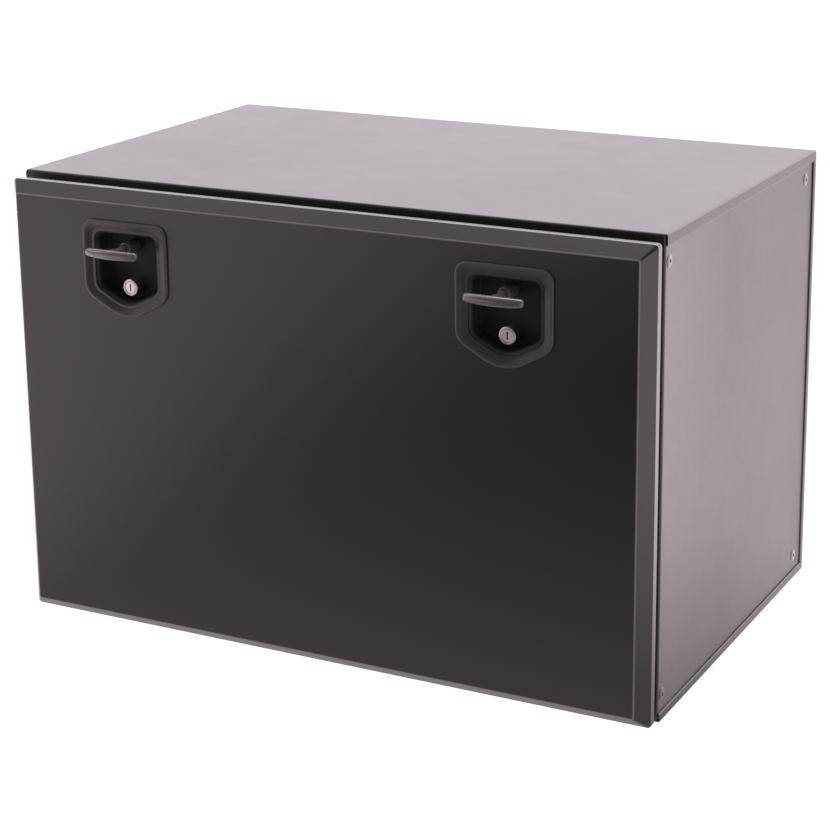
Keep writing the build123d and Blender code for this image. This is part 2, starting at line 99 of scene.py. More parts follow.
class Graph:
    """A node tree of one material or of the world."""

    def __init__(self, tree: bpy.types.NodeTree) -> None:
        """Start from an empty tree."""
        self.tree = tree
        tree.nodes.clear()

    def node(self, kind: str, settings: dict | None = None, inputs: dict | None = None,
             output: int | str = 0) -> Value:
        """Add any node.

        Args:
            kind: The node's type.
            settings: Properties that are set first; "stops" fills a colour ramp.
            inputs: Values or links by socket name or index.
            output: The output socket that is handed back.

        Returns:
            The chosen output.
        """
        made = self.tree.nodes.new(kind)
        for key, value in (settings or {}).items():
            if key == "stops":
                self._fill_ramp(made.color_ramp, value)
            else:
                setattr(made, key, value)
        for key, value in (inputs or {}).items():
            socket = made.inputs[key]
            if isinstance(value, Value):
                self.tree.links.new(value.socket, socket)
            else:
                socket.default_value = value
        return Value(self, made.outputs[output] if made.outputs else None)

    @staticmethod
    def _fill_ramp(ramp: bpy.types.ColorRamp, stops: Sequence[tuple[float, float]]) -> None:
        """Set a grey ramp's stops from pairs of place and brightness."""
        while len(ramp.elements) < len(stops):
            ramp.elements.new(1.0)
        for element, (place, grey) in zip(ramp.elements, stops):
            element.position = place
            element.color = (grey, grey, grey, 1.0)

    def coordinates(self) -> Value:
        """Object coordinates, in metres."""
        return self.node("ShaderNodeTexCoord", output="Object")

    def stretched(self, scale: tuple[float, float, float]) -> Value:
        """Object coordinates multiplied along each axis."""
        return self.node("ShaderNodeMapping", {}, {"Vector": self.coordinates(), "Scale": scale})

    def noise(self, scale: float, detail: float = 2.0, rough: float = 0.5,
              where: Value | None = None) -> Value:
        """Noise between about 0.3 and 0.7.

        Args:
            scale: Cells per metre.
            detail: Number of octaves.
            rough: How much the finer octaves count.
            where: Coordinates, or the object's own if left out.

        Returns:
            The noise value.
        """
        inputs = {"Vector": where or self.coordinates(), "Scale": scale, "Detail": detail, "Roughness": rough}
        return self.node("ShaderNodeTexNoise", {}, inputs)

    def ramp(self, factor: Value, stops: Sequence[tuple[float, float]]) -> Value:
        """Reshape a value through grey stops."""
        return self.node("ShaderNodeValToRGB", {"stops": stops}, {"Fac": factor})

    def blend(self, factor: Value, low: object, high: object) -> Value:
        """Colour between two colours or sockets."""
        low, high = (end if isinstance(end, Value) else (*end, 1.0) for end in (low, high))
        return self.node("ShaderNodeMix", {"data_type": "RGBA"}, {0: factor, 6: low, 7: high}, 2)

    def bump(self, height: Value, distance: float, strength: float, normal: Value | None = None) -> Value:
        """Bump from a height.

        Args:
            height: Height between 0 and 1.
            distance: Metres that a height of 1 stands for.
            strength: Share of the bump that is used.
            normal: A bump to add to.

        Returns:
            The bent normal.
        """
        inputs = {"Height": height, "Distance": distance, "Strength": strength}
        if normal:
            inputs["Normal"] = normal
        return self.node("ShaderNodeBump", {}, inputs)


# ------------------------------------------------------------------ finishes
@dataclass(frozen=True)
class Finish:
    """A surface finish: the values that are the same all over, and what varies."""

    name: str
    colour: tuple[float, float, float]
    roughness: float
    metallic: float = 0.0
    ior: float = 1.5
    coat: float = 0.0
    coat_roughness: float = 0.2

    def material(self) -> bpy.types.Material:
        """Make the material once, and hand it back after that."""
        name = f"{self.name}_finish"
        known = bpy.data.materials.get(name)
        if known:
            return known
        made = bpy.data.materials.new(name)
        made.use_nodes = True
        graph = Graph(made.node_tree)
        inputs = {
            "Base Color": (*self.colour, 1.0), "Roughness": self.roughness, "Metallic": self.metallic,
            "IOR": self.ior, "Coat Weight": self.coat, "Coat Roughness": self.coat_roughness,
        }
        inputs.update(self.varying(graph))
        shader = graph.node("ShaderNodeBsdfPrincipled", {}, inputs)
        graph.node("ShaderNodeOutputMaterial", {}, {"Surface": shader})
        return made

    def varying(self, graph: Graph) -> dict:
        """Inputs that change over the surface."""
        return {}

    def tint(self, share: float) -> tuple[float, float, float]:
        """The colour multiplied by a share."""
        return tuple(c * share for c in self.colour)


@dataclass(frozen=True)
class PowderCoat(Finish):
    """Baked powder on steel: fine orange peel, cloudy sheen, and bends lightened by a little wear and by
    painted highlight lines.
    """

    peel: float = 0.16
    # how far the bends' colour is lifted, partly as wear and partly as a painted highlight
    wear_and_highlight_lift: float = 1.7
    rim: float = 0.1  # grey of the highlight line painted along the bends

    def varying(self, graph: Graph) -> dict:
        """Orange peel, cloudy roughness, bends lightened by wear and by painted highlight lines, and a few
        fine specks.
        """
        cloud = graph.noise(3.2, 3.0)
        drift = graph.noise(26.0, 4.0, 0.62)
        specks = graph.ramp(graph.noise(900.0, 1.0), [(0.66, 0.0), (0.78, 1.0)])
        edge = graph.node("ShaderNodeAttribute", {"attribute_name": EDGE}, output="Fac")
        # lighter, smoother bends: partly wear, partly a painted highlight
        edge_wear_and_highlight = edge * (graph.noise(70.0, 4.0, 0.7) * 1.3)
        shade = cloud * 0.5 + drift * 0.28 + specks * 0.22 + edge_wear_and_highlight * self.wear_and_highlight_lift * 0.6
        film = graph.blend(shade, self.tint(0.62), self.tint(1.5))
        # painted highlight: the colour on the bends blends towards the rim grey
        painted_highlight = graph.ramp(edge, [(0.5, 0.0), (1.0, 1.0)]) * (0.75 + drift * 0.4)
        colour = graph.blend(painted_highlight, film, (self.rim, self.rim * 0.94, self.rim * 0.96))
        rough = self.roughness - 0.07 + cloud * 0.08 + drift * 0.06 - edge_wear_and_highlight * 0.05
        peel = graph.noise(420.0, 2.0, 0.45)
        waves = graph.noise(95.0, 1.0)
        normal = graph.bump(waves, 0.00025, 0.10)
        normal = graph.bump(peel, 0.00018, self.peel, normal)
        return {"Base Color": colour, "Roughness": rough, "Normal": normal}


@dataclass(frozen=True)
class MoldedBlack(Finish):
    """Semi-matt coated pressing with a fine leathery grain."""

    grain: float = 0.3

    def varying(self, graph: Graph) -> dict:
        """Grain, cloudy tone and roughness, a painted highlight on the bead and pocket mouth, and painted
        shade down in the pocket.
        """
        cells = graph.node("ShaderNodeTexVoronoi", {"feature": "F1"}, {
            "Vector": graph.coordinates(), "Scale": 900.0,
        })
        cloud = graph.noise(40.0, 4.0, 0.6)
        edge = graph.node("ShaderNodeAttribute", {"attribute_name": EDGE}, output="Fac")
        depth = graph.node("ShaderNodeSeparateXYZ", {}, {0: graph.coordinates()}, "Y")
        # deep runs from 0 on the flange to 1 in the pocket; it darkens the colour there as painted shade
        deep = graph.ramp(depth * 60.0 + 16.2, [(0.0, 0.0), (0.6, 1.0)])
        # edge lifts the bead and the pocket mouth as a painted highlight
        shade = (cloud * 0.7 + edge * 0.5) * (1.0 - deep * 0.75) - deep * 0.25
        outer = graph.blend(shade, self.tint(0.55), self.tint(1.6))
        colour = graph.blend(deep, outer, self.tint(0.12))
        rough = self.roughness - 0.06 + cloud * 0.12 - edge * 0.05 + deep * 0.3
        normal = graph.bump(cells, 0.00012, self.grain)
        normal = graph.bump(graph.noise(160.0, 2.0), 0.0002, 0.12, normal)
        return {"Base Color": colour, "Roughness": rough, "Normal": normal}


@dataclass(frozen=True)
class CastGrey(Finish):
    """Satin lacquer on a cast handle: soft casting waves and hand wear on the corners."""

    def varying(self, graph: Graph) -> dict:
        """Casting waves, wear and fine pits."""
        edge = graph.node("ShaderNodeAttribute", {"attribute_name": EDGE}, output="Fac")
        cloud = graph.noise(130.0, 4.0, 0.6)
        wear = edge * graph.ramp(graph.noise(260.0, 3.0, 0.7), [(0.42, 0.0), (0.62, 1.0)])
        colour = graph.blend(cloud * 0.6 + wear * 0.7, self.tint(0.8), self.tint(1.45))
        rough = self.roughness - 0.05 + cloud * 0.1 - wear * 0.08
        pits = graph.ramp(graph.noise(1100.0, 1.0), [(0.3, 0.0), (0.45, 1.0)])
        normal = graph.bump(graph.noise(180.0, 1.0), 0.0002, 0.05)
        normal = graph.bump(pits, 0.00006, 0.35, normal)
        return {"Base Color": colour, "Roughness": rough, "Normal": normal}


@dataclass(frozen=True)
class ZincPlate(Finish):
    """Bright zinc on steel: spangled tone, rolled streaks and dull handling marks."""

    streak: tuple[float, float, float] = (6.0, 400.0, 400.0)

    def varying(self, graph: Graph) -> dict:
        """Spangle, streaks and marks."""
        spangle = graph.noise(210.0, 3.0, 0.7)
        lines = graph.noise(1.0, 2.0, 0.5, graph.stretched(self.streak))
        marks = graph.ramp(graph.noise(34.0, 4.0, 0.65), [(0.45, 0.0), (0.62, 1.0)])
        colour = graph.blend(spangle * 0.6 + lines * 0.4, self.tint(0.75), self.tint(1.2))
        rough = self.roughness - 0.08 + spangle * 0.12 + marks * 0.16
        normal = graph.bump(lines, 0.0001, 0.25)
        return {"Base Color": colour, "Roughness": rough, "Normal": normal}


@dataclass(frozen=True)
class Nickel(Finish):
    """Satin nickel on the lock: turned rings, key scratches and a faint tarnish."""

    def varying(self, graph: Graph) -> dict:
        """Tarnish and scratches."""
        tarnish = graph.noise(240.0, 4.0, 0.65)
        scratches = graph.noise(1.0, 3.0, 0.6, graph.stretched((2600.0, 300.0, 240.0)))
        colour = graph.blend(tarnish, self.tint(0.7), self.tint(1.15))
        rough = self.roughness - 0.05 + scratches * 0.16
        normal = graph.bump(scratches, 0.00006, 0.4)
        return {"Base Color": colour, "Roughness": rough, "Normal": normal}


@dataclass(frozen=True)
class SealRubber(Finish):
    """Extruded EPDM: matt, with a slight bloom and drawn lines."""

    def varying(self, graph: Graph) -> dict:
        """Bloom and drawn lines."""
        bloom = graph.noise(60.0, 5.0, 0.7)
        colour = graph.blend(bloom, self.tint(0.6), self.tint(1.9))
        rough = self.roughness - 0.08 + bloom * 0.16
        normal = graph.bump(graph.noise(700.0, 2.0), 0.0001, 0.4)
        return {"Base Color": colour, "Roughness": rough, "Normal": normal}


class Coat(Enum):
    """The finishes of this box."""

    # rim is the grey of the highlight lines painted along the bends; the door's lines are lighter
    BODY = PowderCoat("body_powder_coat", (0.022, 0.0192, 0.0202), 0.46)
    DOOR = PowderCoat("door_powder_coat", (0.0095, 0.0078, 0.0084), 0.38, coat=0.3, coat_roughness=0.2,
                      rim=0.19)
    DISH = MoldedBlack("dish_black", (0.054, 0.0486, 0.0504), 0.46)
    HANDLE = CastGrey("handle_grey", (0.1, 0.092, 0.0945), 0.3, coat=0.9, coat_roughness=0.22)
    SPINDLE = CastGrey("spindle_dark", (0.09, 0.084, 0.086), 0.4)
    SCREW = CastGrey("screw_black", (0.02, 0.0175, 0.0185), 0.36, coat=0.5, coat_roughness=0.3)
    ZINC = ZincPlate("zinc_steel", (0.5, 0.51, 0.52), 0.36, metallic=1.0)
    NICKEL = Nickel("lock_nickel", (0.68, 0.65, 0.645), 0.34, metallic=1.0)
    RUBBER = SealRubber("seal_rubber", (0.008, 0.008, 0.008), 0.75)

    @property
    def material(self) -> bpy.types.Material:
        """The finish's material."""
        return self.value.material()


# ------------------------------------------------------------------ mesh helpers
def rounded(corners: Sequence[Point], radii: Sequence[float], steps: int) -> list[Point]:
    """Round the corners of a polygon.

    Args:
        corners: Corner points, in order.
        radii: One radius for each corner.
        steps: Segments in each corner's arc.

    Returns:
        The outline, with steps + 1 points at each corner.
    """
    outline = []
    for i, here in enumerate(corners):
        middle = Vector(here)
        back = (Vector(corners[i - 1]) - middle).normalized()
        ahead = (Vector(corners[(i + 1) % len(corners)]) - middle).normalized()
        half = back.angle(ahead) / 2
        centre = middle + (back + ahead).normalized() * (radii[i] / math.sin(half))
        start = middle + back * (radii[i] / math.tan(half)) - centre
        end = middle + ahead * (radii[i] / math.tan(half)) - centre
        sweep = math.atan2(start.x * end.y - start.y * end.x, start.dot(end))
        for k in range(steps + 1):
            turn = Matrix.Rotation(sweep * k / steps, 2)
            outline.append(tuple(centre + turn @ start))
    return outline


def arc(centre: Point, radius: float, start: float, end: float, steps: int) -> list[Point]:
    """Points on an arc, angles in degrees."""
    angles = [math.radians(start + (end - start) * k / steps) for k in range(steps + 1)]
    return [(centre[0] + radius * math.cos(a), centre[1] + radius * math.sin(a)) for a in angles]


class Skin:
    """A mesh put together from rings and strips of points."""

    def __init__(self) -> None:
        """Start an empty mesh with the edge attribute."""
        self.bm = bmesh.new()
        self.edge = self.bm.verts.layers.float.new(EDGE)

    def points(self, places: Iterable[Sequence[float]], edge: float = 0.0) -> list[bmesh.types.BMVert]:
        """Add one row of vertices.

        Args:
            places: Where they are, in metres.
            edge: Their value of the edge attribute.

        Returns:
            The new vertices.
        """
        row = [self.bm.verts.new(place) for place in places]
        for vert in row:
            vert[self.edge] = edge
        return row

    def join(self, low: list, high: list, closed: bool = True) -> None:
        """Fill the strip between two rows with four-sided faces."""
        count = len(low)
        for i in range(count if closed else count - 1):
            j = (i + 1) % count
            self.bm.faces.new((low[i], low[j], high[j], high[i]))

    def loft(self, rows: Sequence[list], closed: bool = True) -> None:
        """Join each row to the next."""
        for low, high in zip(rows, rows[1:]):
            self.join(low, high, closed)

    def cap(self, row: list) -> None:
        """Close a ring with one face."""
        self.bm.faces.new(row)

    def turned(self, profile: Sequence[Point], start: Sequence[float], axis: Sequence[float],
               steps: int = 48, edge: float = 0.0) -> None:
        """Revolve a profile of (radius, distance) pairs about an axis, closed at both ends."""
        turn = Vector(axis).to_track_quat("Z", "Y").to_matrix()
        rows = []
        for radius, along in profile:
            ring = []
            for k in range(steps):
                angle = 2 * math.pi * k / steps
                place = Vector((radius * math.cos(angle), radius * math.sin(angle), along))
                ring.append(Vector(start) + turn @ place)
            rows.append(self.points(ring, edge))
        self.loft(rows)
        self.cap(rows[0][::-1])
        self.cap(rows[-1])

    def object(self, name: str, coat: Coat, smooth: float = 32.0) -> bpy.types.Object:
        """Turn the mesh into an object.

        Args:
            name: The piece's name.
            coat: Its finish.
            smooth: Angle in degrees under which an edge is shaded smooth.

        Returns:
            The new object, with its place in its mesh.
        """
        bmesh.ops.remove_doubles(self.bm, verts=self.bm.verts, dist=1e-6)
        bmesh.ops.dissolve_degenerate(self.bm, edges=self.bm.edges, dist=1e-7)
        bmesh.ops.recalc_face_normals(self.bm, faces=self.bm.faces)
        mesh = bpy.data.meshes.new(name)
        self.bm.to_mesh(mesh)
        self.bm.free()
        made = bpy.data.objects.new(name, mesh)
        bpy.context.scene.collection.objects.link(made)
        mesh.materials.append(coat.material)
        shade(mesh, smooth)
        return made


def shade(mesh: bpy.types.Mesh, angle: float) -> None:
    """Smooth shading that breaks at edges sharper than the angle in degrees."""
    mesh.shade_smooth()
    mesh.set_sharp_from_angle(angle=math.radians(angle))


def bake(piece: bpy.types.Object) -> None:
    """Replace a piece's mesh by its evaluated one and drop the modifiers."""
    depsgraph = bpy.context.evaluated_depsgraph_get()
    mesh = bpy.data.meshes.new_from_object(piece.evaluated_get(depsgraph), depsgraph=depsgraph)
    piece.modifiers.clear()
    piece.data = mesh


def settle(piece: bpy.types.Object, angle: float = 32.0) -> None:
    """Bake a piece and set where its shading breaks."""
    bake(piece)
    shade(piece.data, angle)


def level(piece: bpy.types.Object) -> None:
    """Let the large faces set the shading normals at their edges."""
    piece.modifiers.new("level", "WEIGHTED_NORMAL").keep_sharp = True
    bake(piece)


def thicken(piece: bpy.types.Object, thickness: float, soften: float = 0.0003) -> None:
    """Give an open skin its sheet thickness on the inside, with softened cut edges."""
    wall = piece.modifiers.new("sheet", "SOLIDIFY")
    wall.thickness = thickness
    wall.offset = -1.0
    wall.use_even_offset = True
    ease = piece.modifiers.new("ease", "BEVEL")
    ease.width = soften
    ease.segments = 2
    ease.limit_method = "ANGLE"
    ease.angle_limit = math.radians(40)
    settle(piece, 60.0)
    level(piece)


def place(piece: bpy.types.Object, body: str, slot: str, *nodes: str) -> None:
    """Let a piece ride on a body and hide the CAD nodes that it stands for."""
    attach(piece, body)
    if nodes:
        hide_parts(*nodes)
    log.info("%s: %d faces, rides on %s", piece.name, len(piece.data.polygons), body)


def dress(node: str, coat: Coat) -> None:
    """Give a CAD node a finish."""
    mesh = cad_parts[node].data
    mesh.materials.clear()
    mesh.materials.append(coat.material)


# ------------------------------------------------------------------ geometry node helpers
class Recipe:
    """A Geometry Nodes tree with named inputs."""

    def __init__(self, name: str, sizes: dict[str, float]) -> None:
        """Make the tree and its named inputs.

        Args:
            name: Name of the tree.
            sizes: Named number inputs and their values, whole numbers for counts.
        """
        self.tree = bpy.data.node_groups.new(name, "GeometryNodeTree")
        self.sizes = sizes
        self.tree.interface.new_socket("Geometry", in_out="INPUT", socket_type="NodeSocketGeometry")
        self.tree.interface.new_socket("Geometry", in_out="OUTPUT", socket_type="NodeSocketGeometry")
        self.keys = {}
        for label, value in sizes.items():
            kind = "NodeSocketInt" if isinstance(value, int) else "NodeSocketFloat"
            made = self.tree.interface.new_socket(label, in_out="INPUT", socket_type=kind)
            self.keys[label] = made.identifier
        self.start = self.tree.nodes.new("NodeGroupInput")

    def node(self, kind: str, settings: dict | None = None, inputs: dict | None = None,
             output: int | str = 0) -> bpy.types.NodeSocket:
        """Add a node; a string input names one of the tree's own inputs."""
        made = self.tree.nodes.new(kind)
        for key, value in (settings or {}).items():
            setattr(made, key, value)
        for key, value in (inputs or {}).items():
            links = value if isinstance(value, list) else [value]
            for link in links:
                if isinstance(link, str):
                    link = self.start.outputs[link]
                if isinstance(link, bpy.types.NodeSocket):
                    self.tree.links.new(link, made.inputs[key])
                else:
                    made.inputs[key].default_value = link
        return made.outputs[output]

    def vector(self, x: object, y: object, z: object) -> bpy.types.NodeSocket:
        """Vector from three numbers or sockets."""
        return self.node("ShaderNodeCombineXYZ", {}, {0: x, 1: y, 2: z})

    def math(self, operation: str, a: object, b: object) -> bpy.types.NodeSocket:
        """One Math node."""
        return self.node("ShaderNodeMath", {"operation": operation}, {0: a, 1: b})

    def finish(self, geometry: bpy.types.NodeSocket, coat: Coat) -> None:
        """End the tree in real geometry with its material."""
        real = self.node("GeometryNodeRealizeInstances", {}, {0: geometry})
        dressed = self.node("GeometryNodeSetMaterial", {}, {"Geometry": real, "Material": coat.material})
        end = self.tree.nodes.new("NodeGroupOutput")
        self.tree.links.new(dressed, end.inputs[0])

    def run(self, name: str, spots: Sequence[Sequence[float]] = ((0, 0, 0),),
            smooth: float = 32.0) -> bpy.types.Object:
        """Run the tree on a cloud of points and keep the result as a plain mesh.

        Args:
            name: Name of the new piece.
            spots: The points that the tree is given.
            smooth: Shading angle in degrees.

        Returns:
            The new piece.
        """
        cloud = bpy.data.meshes.new(name)
        cloud.from_pydata([tuple(s) for s in spots], [], [])
        made = bpy.data.objects.new(name, cloud)
        bpy.context.scene.collection.objects.link(made)
        grow = made.modifiers.new(name, "NODES")
        grow.node_group = self.tree
        for label, value in self.sizes.items():
            grow[self.keys[label]] = value
        settle(made, smooth)
        return made


# ------------------------------------------------------------------ the body
@dataclass
class BodyShell:
    """Folded wrapper, end panels, posts and their screws."""

    sheet: float = 2.0 * MM
    side_fold: float = 2.1 * MM
    front_fold: float = 2.3 * MM
    roll: float = 1.5 * MM
    head_radius: float = 7.0 * MM
    head_share: float = 0.3  # of the height that the CAD heads stand proud
    socket_radius: float = 2.2 * MM
    back_bend: float = 4.0 * MM
    top_strip: float = 12.0 * MM
    back_strip: float = 8.0 * MM
    bottom_strip: float = 10.0 * MM
    top_lip: float = 25.0 * MM
    bottom_lip: float = 40.0 * MM
    steps: int = 6
    low: Vector = field(default_factory=lambda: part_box("body_wrapper")[0])
    high: Vector = field(default_factory=lambda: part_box("body_wrapper")[1])

    def profile(self) -> list[tuple[Vector, Vector]]:
        """Outline in the YZ plane as (place, outward direction)."""
        front, back, top, bottom = self.low.y, self.high.y, self.high.z, self.low.z
        small, large = self.front_fold, self.back_bend
        found = []
        turns = (
            ((front + small, top - small), small, 180, 90),
            ((back - large, top - large), large, 90, 0),
            ((back - large, bottom + large), large, 0, -90),
            ((front + small, bottom + small), small, -90, -180),
        )
        for centre, radius, start, end in turns:
            for spot in arc(centre, radius, start, end, self.steps):
                away = (Vector(spot) - Vector(centre)).normalized()
                found.append((Vector(spot), away))
        return found

    def inner(self, spot: Vector, back_off: float) -> Vector:
        """Point of the side strip's inner edge beside a point of the outline.

        Args:
            spot: Point of the outline, as (y, z).
            back_off: Distance from the cut edge back into the strip.

        Returns:
            The nearest point of the strip's inner rectangle.
        """
        y = min(spot.x, self.high.y - self.back_strip + back_off)
        low, high = self.low.z + self.bottom_strip - back_off, self.high.z - self.top_strip + back_off
        return Vector((y, min(max(spot.y, low), high)))

    def half_row(self, spot: Vector, away: Vector) -> list[tuple[float, Vector]]:
        """Points from the side strip's rolled edge over the fold to the lip's end, as (x, (y, z))."""
        half = self.high.x
        found = []
        for angle in (90, 67, 45, 22, 0):
            a = math.radians(angle)
            back_off = self.roll * (1 - math.sin(a))
            found.append((half - self.roll * (1 - math.cos(a)), self.inner(spot, back_off)))
        middle = (self.low.z + self.high.z) / 2
        fold = away if spot.x > self.low.y + 0.1 else Vector((0, math.copysign(1, spot.y - middle)))
        for k in range(self.steps + 1):
            a = math.radians(90 * k / self.steps)
            reach = half - self.side_fold * (1 - math.cos(a))
            found.append((reach, spot - fold * (self.side_fold * (1 - math.sin(a)))))
        found.append((half - 2 * self.sheet, spot))
        return found

    def wrapper(self) -> bpy.types.Object:
        """One sheet: top, back and bottom, with strips folded in at both ends and lips in front."""
        skin = Skin()
        rows = []
        for spot, away in self.profile():
            side = self.half_row(spot, away)
            row = skin.points([(x, *yz) for x, yz in side] + [(-x, *yz) for x, yz in side[::-1]])
            # edge 1 on the rolled strip edge and the middle of each fold, where the body coat paints a
            # highlight line
            for k, vert in enumerate(row):
                vert[skin.edge] = 1.0 if min(k, len(row) - 1 - k) in (1, 2, 3, 7, 8, 9) else 0.0
            rows.append(row)
        skin.loft(rows, closed=False)
        column = len(rows[0]) // 2 - 1
        for row, z in ((rows[0], self.high.z - self.top_lip), (rows[-1], self.low.z + self.bottom_lip)):
            ends = [row[column], row[column + 1]]
            foot = skin.points([(vert.co.x, vert.co.y, z) for vert in ends])
            skin.join(ends, foot, closed=False)
        piece = skin.object("body_shell", Coat.BODY)
        thicken(piece, self.sheet, 0.0004)
        return piece

    def end_panel(self, side: str) -> bpy.types.Object:
        """Flat end with its front edge folded inwards as a lip."""
        low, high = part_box(f"end_panel_{side}")
        sign = SIDES[side]
        outer = high.x if sign > 0 else low.x
        bend = self.front_fold
        skin = Skin()
        section = [(outer, high.y)]
        for x, y in arc((0, 0), bend, 0, -90, self.steps):
            section.append((outer - sign * (bend - x), low.y + bend + y))
        tip = outer - sign * (high.x - low.x)
        levels = (low.z, low.z + self.bottom_lip - self.sheet, high.z - self.top_lip + self.sheet, high.z)
        rows = [skin.points([(x, y, z) for x, y in section]) for z in levels]
        # the folded front edge gets edge 0.8, which the body coat lightens as a painted highlight line
        for row in rows:
            for vert in row[1:]:
                vert[skin.edge] = 0.8
        skin.loft(rows if sign > 0 else rows[::-1], closed=False)
        tips = skin.points([(tip, low.y, rows[1][0].co.z), (tip, low.y, rows[2][0].co.z)])
        skin.bm.faces.new((rows[1][-1], tips[0], tips[1], rows[2][-1]))
        piece = skin.object(f"end_skin_{side}", Coat.BODY)
        flat = max(piece.data.polygons, key=lambda face: face.area)
        if flat.normal.x * sign < 0:
            piece.data.flip_normals()
        thicken(piece, self.sheet, 0.0003)
        return piece

    def screw_heads(self, side: str) -> bpy.types.Object:
        """Button heads with a hexagon socket, one at each corner of an end panel."""
        low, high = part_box(f"side_screws_{side}")
        sign = SIDES[side]
        radius = self.head_radius
        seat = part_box(f"end_panel_{side}")[0 if sign < 0 else 1].x
        tall = abs((high.x if sign > 0 else low.x) - seat)
        depths, heights = (low.y + radius, high.y - radius), (low.z + radius, high.z - radius)
        spots = [(seat, y, z) for y in depths for z in heights]
        sizes = {"Head Radius": radius, "Head Height": tall * self.head_share,
                 "Socket Radius": self.socket_radius, "Shank Radius": 3.9 * MM, "Shank Length": 16.0 * MM}
        recipe = Recipe(f"button_screws_{side}", sizes)
        ball = recipe.node("GeometryNodeMeshUVSphere", {}, {"Segments": 40, "Rings": 20, "Radius": 1.0})
        dome = recipe.node("GeometryNodeTransform", {}, {
            0: ball, "Scale": recipe.vector("Head Radius", "Head Radius", "Head Height"),
        })
        below = recipe.node("GeometryNodeMeshCube", {}, {"Size": (0.1, 0.1, 0.1)})
        below = recipe.node("GeometryNodeTransform", {}, {0: below, "Translation": (0, 0, -0.05)})
        socket = recipe.node("GeometryNodeMeshCylinder", {}, {
            "Vertices": 6, "Radius": "Socket Radius", "Depth": "Head Height",
        })
        lift = recipe.vector(0.0, 0.0, "Head Height")
        socket = recipe.node("GeometryNodeTransform", {}, {0: socket, "Translation": lift})
        tools = recipe.node("GeometryNodeJoinGeometry", {}, {0: [below, socket]})
        head = recipe.node("GeometryNodeMeshBoolean", {"operation": "DIFFERENCE"}, {0: dome, 1: tools})
        shank = recipe.node("GeometryNodeMeshCylinder", {}, {
            "Vertices": 24, "Radius": "Shank Radius", "Depth": "Shank Length",
        })
        sink = recipe.vector(0.0, 0.0, recipe.math("MULTIPLY", "Shank Length", -0.499))
        shank = recipe.node("GeometryNodeTransform", {}, {0: shank, "Translation": sink})
        whole = recipe.node("GeometryNodeJoinGeometry", {}, {0: [head, shank]})
        many = recipe.node("GeometryNodeInstanceOnPoints", {}, {
            "Points": "Geometry", "Instance": whole, "Rotation": (0.0, sign * math.pi / 2, 0.0),
        })
        recipe.finish(many, Coat.SCREW)
        return recipe.run(f"screw_heads_{side}", spots, 38.0)

    def build(self) -> None:
        """Make the shell and dress the posts, nuts and studs."""
        place(self.wrapper(), "body", "body_powder_coat", "body_wrapper")
        for side in SIDES:
            place(self.end_panel(side), "body", "body_powder_coat", f"end_panel_{side}")
            place(self.screw_heads(side), "body", "black_screws", f"side_screws_{side}")
            for post in ("front_post", "rear_post"):
                dress(f"{post}_{side}", Coat.BODY)
            for part in ("side_nuts", "stay_stud"):
                dress(f"{part}_{side}", Coat.ZINC)


# ------------------------------------------------------------------ the seal
@dataclass
class DoorSeal:
    """Bulb seal on a flat foot, run round the opening as one rounded rectangle."""

    foot: float = 2.4 * MM
    width: float = 12.0 * MM
    corner: float = 14.0 * MM

    def build(self) -> None:
        """Grow the seal along its path."""
        low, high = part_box("door_seal")
        width, depth = self.width, high.y - low.y
        bulb = (depth - self.foot / 2) / 2
        sizes = {
            "Path Width": high.x - low.x - width, "Path Height": high.z - low.z - width,
            "Corner Radius": self.corner, "Bulb Radius": bulb, "Foot Width": width, "Foot Height": self.foot,
            "Corner Steps": 10,
        }
        recipe = Recipe("door_seal_run", sizes)
        path = recipe.node("GeometryNodeCurvePrimitiveQuadrilateral", {}, {
            "Width": "Path Width", "Height": "Path Height",
        })
        path = recipe.node("GeometryNodeFilletCurve", {"mode": "POLY"}, {
            "Curve": path, "Count": "Corner Steps", "Radius": "Corner Radius",
        })
        foot = recipe.node("GeometryNodeCurvePrimitiveQuadrilateral", {}, {
            "Width": "Foot Width", "Height": "Foot Height",
        })
        tube = recipe.node("GeometryNodeCurvePrimitiveCircle", {}, {
            "Resolution": 20, "Radius": "Bulb Radius",
        })
        parts = []
        for shape, lift in ((foot, self.foot / 2), (tube, depth - bulb)):
            swept = recipe.node("GeometryNodeCurveToMesh", {}, {"Curve": path, "Profile Curve": shape})
            raised = {0: swept, "Translation": (0.0, 0.0, lift)}
            parts.append(recipe.node("GeometryNodeTransform", {}, raised))
        whole = recipe.node("GeometryNodeJoinGeometry", {}, {0: parts})
        whole = recipe.node("GeometryNodeTransform", {}, {
            0: whole, "Rotation": (math.pi / 2, 0.0, 0.0),
            "Translation": ((low.x + high.x) / 2, high.y, (low.z + high.z) / 2),
        })
        recipe.finish(whole, Coat.RUBBER)
        piece = recipe.run("seal_run")
        place(piece, "body", "seal_rubber", "door_seal")


# ------------------------------------------------------------------ the door
@dataclass(frozen=True)
class Shield:
    """Outline of a latch dish about its spindle, in millimetres."""

    half: float
    top: float
    knee: float
    tip: float
    corner: float
    foot: float
    blunt: float

    def towards(self, other: "Shield", share: float) -> "Shield":
        """Outline part of the way to another one."""
        mine, theirs = vars(self).values(), vars(other).values()
        return Shield(*[a + (b - a) * share for a, b in zip(mine, theirs)])

    def outline(self, steps: int = 8) -> list[Point]:
        """Rounded outline in metres."""
        corners = [(self.half, self.top), (-self.half, self.top), (-self.half, self.knee), (0.0, self.tip),
                   (self.half, self.knee)]
        radii = [self.corner, self.corner, self.foot, self.blunt, self.foot]
        return [(x * MM, z * MM) for x, z in rounded(corners, radii, steps)]


OUTER = Shield(53.0, 29.0, -52.0, -81.0, 13.0, 20.0, 45.0)
POCKET = Shield(36.5, 13.7, -44.5, -63.0, 8.0, 11.0, 31.0)
CUTOUT = Shield(39.5, 16.7, -45.8, -66.8, 10.0, 13.0, 33.0)
FLOOR = Shield(33.4, 10.6, -43.0, -59.4, 5.0, 8.0, 26.0)


